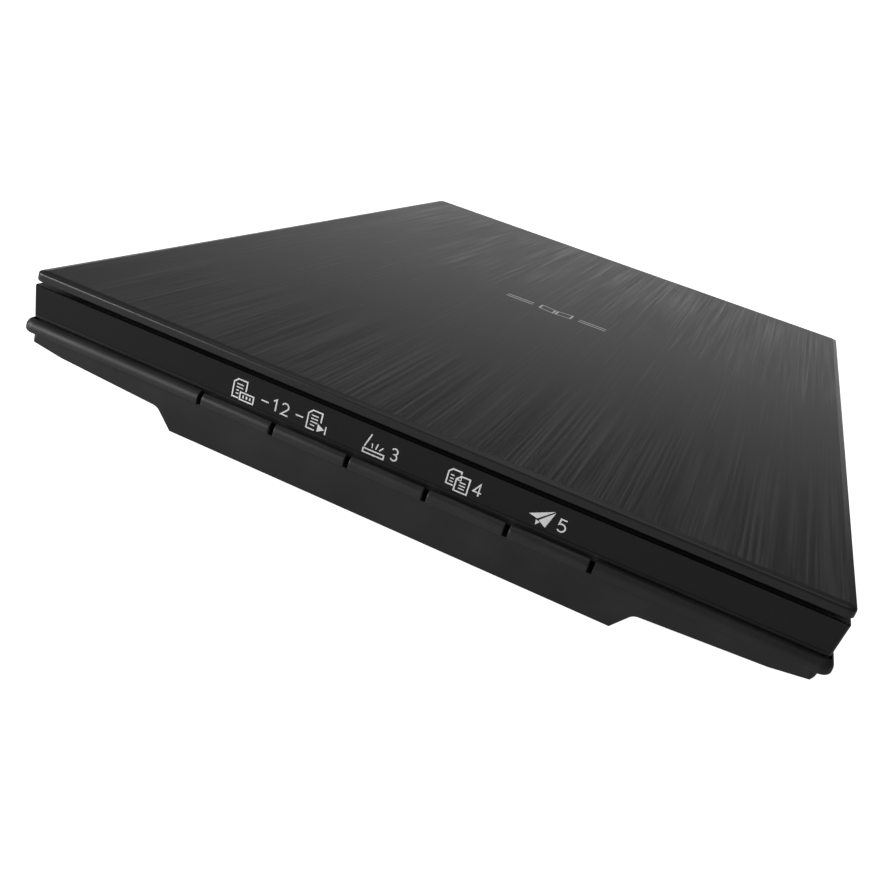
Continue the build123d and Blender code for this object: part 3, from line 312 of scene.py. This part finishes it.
PRINT_WHITE = grained_plastic("print_white", (0.72, 0.72, 0.72), 0.45, 0.2 * MM, 0.004 * MM)
PRINT_GREY = grained_plastic("print_grey", (0.2, 0.2, 0.205), 0.5, 0.2 * MM, 0.004 * MM)

for row in frame["record"]["subparts"]:
    mesh = NODES[row["node"]].data
    mesh.materials.clear()
    mesh.materials.append(SURFACES[row["material_slot"]].material)


# ---- mesh tools ----
def new_piece(name, mesh, surface, body):
    """Links a mesh as a piece with a finish. It rides on a body, unless body is None."""
    mesh.materials.clear()
    mesh.materials.append(surface.material)
    piece = bpy.data.objects.new(name, mesh)
    bpy.context.scene.collection.objects.link(piece)
    if body:
        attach(piece, body)
    return piece


def finished(form, name):
    """The mesh of a bmesh, which is freed."""
    mesh = bpy.data.meshes.new(name)
    form.to_mesh(mesh)
    form.free()
    return mesh


def stroke(points, width, closed=False):
    """A flat line of even width as 2-D vertices and quads, mitred at its corners."""
    count = len(points)
    sides = []
    for i, point in enumerate(points):
        here = Vector(point)
        before = Vector(points[i - 1]) if closed or i else None
        after = Vector(points[(i + 1) % count]) if closed or i < count - 1 else None
        arriving = (here - before).normalized() if before else (after - here).normalized()
        leaving = (after - here).normalized() if after else arriving
        mitre = (arriving + leaving).normalized()
        reach = width / 2 / max(0.35, mitre.dot(leaving))
        across = Vector((-mitre.y, mitre.x)) * reach
        sides += [here + across, here - across]
    last = count if closed else count - 1
    quads = [[2 * i, 2 * i + 1, (2 * i + 3) % (2 * count), (2 * i + 2) % (2 * count)] for i in range(last)]
    return [tuple(v) for v in sides], quads


def filled(points):
    """A filled 2-D outline."""
    return [tuple(p) for p in points], [list(range(len(points)))]


def printed(shapes, to_world, thickness):
    """A mesh of thin raised shapes. to_world turns 2-D points and a height into a place."""
    form = bmesh.new()
    for points, faces in shapes:
        low = [form.verts.new(to_world(u, v, 0.0)) for u, v in points]
        high = [form.verts.new(to_world(u, v, thickness)) for u, v in points]
        uses = {}
        for face in faces:
            form.faces.new([high[i] for i in face])
            form.faces.new([low[i] for i in reversed(face)])
            for a, b in zip(face, face[1:] + face[:1]):
                uses.setdefault(frozenset((a, b)), []).append((a, b))
        for edges in uses.values():
            if len(edges) == 1:
                a, b = edges[0]
                form.faces.new([low[a], low[b], high[b], high[a]])
    bmesh.ops.recalc_face_normals(form, faces=form.faces)
    return finished(form, "printed")


# ---- symbols on the front panel ----
LINE = 0.42  # width of the printed lines, in millimetres like all the symbols


def moved(shapes, du, dv):
    return [([(u + du, v + dv) for u, v in points], faces) for points, faces in shapes]


def page(width, height, fold=1.2):
    """A sheet with a folded corner, its lower left corner at 0, 0."""
    outline = [(0, 0), (width, 0), (width, height), (fold, height), (0, height - fold)]
    ear = [(0.25, height - fold - 0.1), (fold + 0.1, height - fold - 0.1), (fold + 0.1, height - 0.25)]
    return [stroke(outline, LINE, True), stroke(ear, LINE * 0.7)]


def text_bars(u0, u1, levels):
    """Short rules that stand for lines of writing on a sheet."""
    return [stroke([(u0, v), (u1, v)], LINE * 0.8) for v in levels]


def finish_symbol():
    """A sheet beside a filled box with slots."""
    box = [stroke([(2.5, -0.2), (6.9, -0.2), (6.9, 2.1), (2.5, 2.1)], LINE, True)]
    slots = [stroke([(u, 0.5), (u, 1.4)], 0.5) for u in (3.6, 4.7, 5.8)]
    sheet = [stroke([(2.0, 0), (0, 0), (0, 4.6), (1.2, 5.8), (4.2, 5.8), (4.2, 2.7)], LINE)]
    return sheet + box + slots + text_bars(1.0, 3.2, (4.3, 3.3)) + text_bars(1.0, 1.9, (2.3, 1.3))


def next_symbol():
    """A sheet with a skip arrow."""
    sheet = [stroke([(4.2, 2.9), (4.2, 5.8), (1.2, 5.8), (0, 4.6), (0, 0), (2.6, 0)], LINE)]
    arrow = [filled([(3.4, -0.1), (5.6, 1.15), (3.4, 2.4)]), stroke([(6.0, -0.1), (6.0, 2.4)], LINE)]
    return sheet + arrow + text_bars(1.0, 3.2, (4.3, 3.3, 2.3)) + text_bars(1.0, 2.4, (1.3,))


def scan_symbol():
    """An open scanner with light coming off its bed."""
    bed = [stroke([(0, 0), (6.4, 0), (6.4, 1.2), (0, 1.2)], LINE, True)]
    lid = [stroke([(0.2, 1.7), (1.7, 6.0)], LINE)]
    rays = [stroke([(2.6, 2.0), (2.4, 3.4)], LINE * 0.8), stroke([(3.7, 2.0), (4.1, 3.9)], LINE * 0.8)]
    return bed + lid + rays + [stroke([(4.8, 2.0), (5.8, 3.3)], LINE * 0.8)]


def copy_symbol():
    """Two sheets, one behind the other."""
    rear = [stroke([(2.2, 1.2), (0, 1.2), (0, 4.9), (1.0, 5.9), (3.6, 5.9), (3.6, 5.2)], LINE)]
    front = moved(page(3.8, 4.7), 2.6, 0) + text_bars(3.7, 5.5, (2.9, 2.0, 1.1))
    return rear + front + text_bars(0.8, 1.9, (4.1, 3.1, 2.2))


def send_symbol():
    """A paper aeroplane."""
    wings = [filled([(0, 2.6), (6.6, 5.9), (2.5, 2.0)]), filled([(3.0, 1.7), (6.8, 5.6), (5.2, 0.3)])]
    return wings + [filled([(2.3, 1.6), (3.4, 1.2), (2.4, 0)])]


def arc(centre, radius, start, end, steps=8):
    """Points on a circle's arc, with its angles in degrees."""
    turns = [math.radians(start + (end - start) * i / steps) for i in range(steps + 1)]
    return [(centre[0] + radius * math.cos(a), centre[1] + radius * math.sin(a)) for a in turns]


NUMERALS = {
    1: [[(0.1, 2.9), (1.0, 3.6), (1.0, 0.0)]],
    2: [arc((1.1, 2.55), 1.05, 160, -40) + [(0.1, 0.0), (2.3, 0.0)]],
    3: [arc((1.05, 2.7), 0.9, 150, -90) + arc((1.05, 0.9), 0.95, 90, -150)[1:]],
    4: [[(1.6, 0.0), (1.6, 3.6), (0.0, 1.1), (2.3, 1.1)]],
    5: [[(2.1, 3.6), (0.4, 3.6), (0.25, 2.0)] + arc((1.05, 1.15), 1.15, 125, -140)],
}


def numeral(value, u, v):
    return moved([stroke(line, LINE) for line in NUMERALS[value]], u, v)


PANEL_SLOPE = 0.8 / 10.2  # the panel's face leans out by this much for each unit of height


def panel_place(u, v, out):
    """A point on the front panel: u to the right, v up from the table, in millimetres."""
    below_top = PANEL_HIGH.z - v * MM
    return Vector((u * MM, PANEL_LOW.y + PANEL_SLOPE * below_top - out, v * MM))


SYMBOL_BASE = 28.7  # height of the symbols' foot above the table
SYMBOL_SHIFT = 1.2  # how far right the whole row stands
PRINT_THICKNESS = 0.03 * MM
DASHES = [stroke([(u, 2.4), (u + 2.4, 2.4)], LINE) for u in (-43.6, -32.4)]
SYMBOLS = {
    "symbol_finish": moved(finish_symbol(), -53.0, SYMBOL_BASE),
    "symbol_next": moved(next_symbol(), -28.6, SYMBOL_BASE),
    "symbol_documents": moved(DASHES + numeral(1, -39.8, 0.7) + numeral(2, -37.0, 0.7), 0, SYMBOL_BASE),
    "symbol_scan": moved(scan_symbol(), -10.6, SYMBOL_BASE) + numeral(3, -2.4, SYMBOL_BASE + 1.0),
    "symbol_copy": moved(copy_symbol(), 14.7, SYMBOL_BASE) + numeral(4, 22.6, SYMBOL_BASE + 1.0),
    "symbol_send": moved(send_symbol(), 38.8, SYMBOL_BASE) + numeral(5, 47.0, SYMBOL_BASE + 1.0),
}
for name, shapes in SYMBOLS.items():
    mesh = printed(moved(shapes, SYMBOL_SHIFT, 0), panel_place, PRINT_THICKNESS)
    new_piece(name, mesh, PRINT_WHITE, "root")


# ---- marks round the glass, seen with the lid open ----
def bed_marks():
    """Ticks every 10 mm beside the glass, longer at every fifth, and an arrow at the corner for the page."""
    glass_low, glass_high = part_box("platen_glass")
    edge, corner = glass_high.x / MM - 2.4, glass_low.y / MM + 7
    ticks, pitch, tick_width = 30, 10, 0.3
    shapes = []
    for i in range(ticks):
        length = 2.6 if i % 5 == 0 else 1.4
        level = corner + pitch * i
        shapes.append(stroke([(edge, level), (edge + length, level)], tick_width))
    shapes.append(filled([(edge, corner - 4.4), (edge + 3.4, corner - 3.2), (edge + 2.2, corner - 6.6)]))
    return shapes


def bed_place(u, v, out):
    """A point on the frame round the glass, with u and v in millimetres."""
    return Vector((u * MM, v * MM, BED_TOP + out))


new_piece("bed_marks", printed(bed_marks(), bed_place, 0.02 * MM), PRINT_GREY, "root")


# ---- pieces of their own for the foam, the flat cable and the springs, which give or change shape in the scanner ----
def foam_pad():
    """Foam behind the white sheet: flat on both faces, with soft sides that pull in between its corners."""
    low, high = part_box("pad_foam")
    centre, half = (low + high) / 2, (high - low) / 2
    radius, corner_steps, side_steps, side_pull = 3 * MM, 6, 24, 0.5 * MM
    outline = []  # places round the middle of the sides, each with the direction that faces out there
    for sign_x, sign_y, first in ((1, 1, 0), (-1, 1, 90), (-1, -1, 180), (1, -1, 270)):
        for i in range(corner_steps + 1):
            angle = math.radians(first + 90 * i / corner_steps)
            out = Vector((math.cos(angle), math.sin(angle), 0))
            corner = Vector((sign_x * (half.x - radius), sign_y * (half.y - radius), 0))
            outline.append((centre + corner + radius * out, out))
        along_x = sign_x * sign_y > 0
        run = 2 * ((half.x if along_x else half.y) - radius)
        start, out = outline[-1]
        ahead = Vector((-out.y, out.x, 0))
        for i in range(1, side_steps):
            pull = side_pull * math.sin(math.pi * i / side_steps)
            outline.append((start + ahead * run * i / side_steps - pull * out, out))
    form = bmesh.new()
    rings = []
    for share, inset in ((-1, 0.5), (-0.7, 0.16), (0, 0), (0.7, 0.16), (1, 0.5)):
        rise = Vector((0, 0, share * half.z))
        rings.append([form.verts.new(place - inset * MM * out + rise) for place, out in outline])
    total = len(outline)
    for lower, upper in zip(rings, rings[1:]):
        for i in range(total):
            form.faces.new([lower[i], lower[(i + 1) % total], upper[(i + 1) % total], upper[i]])
    form.faces.new(list(reversed(rings[0])))
    form.faces.new(rings[-1])
    return finished(form, "foam_pad")


def sliced_copy(node, start, end, step):
    """A node's mesh, cut across every step from start to end along Y."""
    form = bmesh.new()
    form.from_mesh(NODES[node].data)
    for i in range(int((end - start) / step) + 1):
        everything = form.verts[:] + form.edges[:] + form.faces[:]
        place = (0, start + i * step, 0)
        bmesh.ops.bisect_plane(form, geom=everything, plane_co=place, plane_no=(0, 1, 0))
    return finished(form, node)


foam_piece = new_piece("foam_pad", foam_pad(), SURFACES["foam"], "lid")
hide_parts("pad_foam")

# the flat cable, which folds on itself in the scanner, is copied and cut across every 2 mm between the end
# on the floor and the end that the carriage takes along
FIXED_Y, TAKEN_Y = 0.0, -0.158
cable_mesh = sliced_copy("scan_ribbon", TAKEN_Y, FIXED_Y, 2 * MM)
cable_piece = new_piece("flat_cable", cable_mesh, SURFACES["ribbon"], None)
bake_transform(cable_piece)
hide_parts("scan_ribbon")

# the springs, which shorten when the sensor is pressed down, are copied into a piece of their own that rides
# on the carriage
spring_mesh = NODES["sensor_springs"].data.copy()
spring_piece = new_piece("float_springs", spring_mesh, SURFACES["spring_steel"], "carriage")
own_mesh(spring_piece)
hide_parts("sensor_springs")


# ---- stage, camera and light ----
def camera_only(nodes, links, others, camera):
    """A strength that is one value for what the camera sees and another for the light it sheds."""
    path = nodes.new("ShaderNodeLightPath")
    strength = nodes.new("ShaderNodeMapRange")
    strength.inputs["To Min"].default_value = others
    strength.inputs["To Max"].default_value = camera
    links.new(path.outputs["Is Camera Ray"], strength.inputs["Value"])
    return strength.outputs[0]


def add_floor():
    """A white table top, bright enough to fade into the surroundings."""
    mesh = bpy.data.meshes.new("floor")
    reach = 12.0
    corners = [(-reach, -reach, 0), (reach, -reach, 0), (reach, reach, 0), (-reach, reach, 0)]
    mesh.from_pydata(corners, [], [(0, 1, 2, 3)])
    surface = Surface("floor", (0.8, 0.8, 0.8), 0.7, specular=0.1)
    surface.set("Emission Color", (1, 1, 1, 1))
    surface.set("Emission Strength", camera_only(surface.tree.nodes, surface.tree.links, 0.06, 1.0))
    mesh.materials.append(surface.material)
    floor = bpy.data.objects.new("floor", mesh)
    bpy.context.scene.collection.objects.link(floor)


def add_world():
    """White surroundings that shed little light."""
    world = bpy.data.worlds.new("surroundings")
    world.use_nodes = True
    bpy.context.scene.world = world
    nodes, links = world.node_tree.nodes, world.node_tree.links
    background = nodes["Background"]
    background.inputs["Color"].default_value = (1, 1, 1, 1)
    links.new(camera_only(nodes, links, 0.08, 1.05), background.inputs["Strength"])


def add_softbox(name, place, target, width, height, power):
    """A rectangular lamp that faces a target and isn't seen itself."""
    light = bpy.data.lights.new(name, "AREA")
    light.shape, light.size, light.size_y, light.energy = "RECTANGLE", width, height, power
    lamp = bpy.data.objects.new(name, light)
    lamp.location = place
    lamp.rotation_mode = "QUATERNION"
    lamp.rotation_quaternion = (Vector(target) - Vector(place)).to_track_quat("-Z", "Y")
    lamp.visible_camera = False
    bpy.context.scene.collection.objects.link(lamp)


def add_camera():
    """A close view from above the front, a little to the right, rolled to one side."""
    heading, tilt, roll = (math.radians(angle) for angle in (14.85, 68.67, 17.03))
    data = bpy.data.cameras.new("camera")
    data.sensor_width, data.lens, data.shift_x, data.shift_y = 36.0, 41.811, 0.0176, -0.0099
    data.clip_start = 0.01
    camera = bpy.data.objects.new("camera", data)
    turn = Matrix.Rotation(heading, 4, "Z") @ Matrix.Rotation(tilt, 4, "X") @ Matrix.Rotation(roll, 4, "Z")
    camera.matrix_world = Matrix.Translation((0.0717, -0.4280, 0.1413)) @ turn
    bpy.context.scene.collection.objects.link(camera)
    bpy.context.scene.camera = camera


add_floor()
add_world()
add_softbox("rear_window", (-0.4, 1.5, 0.19), (0, 0.1, 0.04), 2.2, 0.26, 2.2)
add_softbox("ceiling", (-0.2, 0.2, 1.5), (0, 0, 0), 1.6, 1.6, 6)
add_softbox("left_fill", (-1.0, -0.9, 0.3), (-0.1, -0.25, 0.0), 0.9, 0.5, 14)
add_camera()
bpy.context.scene.view_settings.view_transform = "Standard"
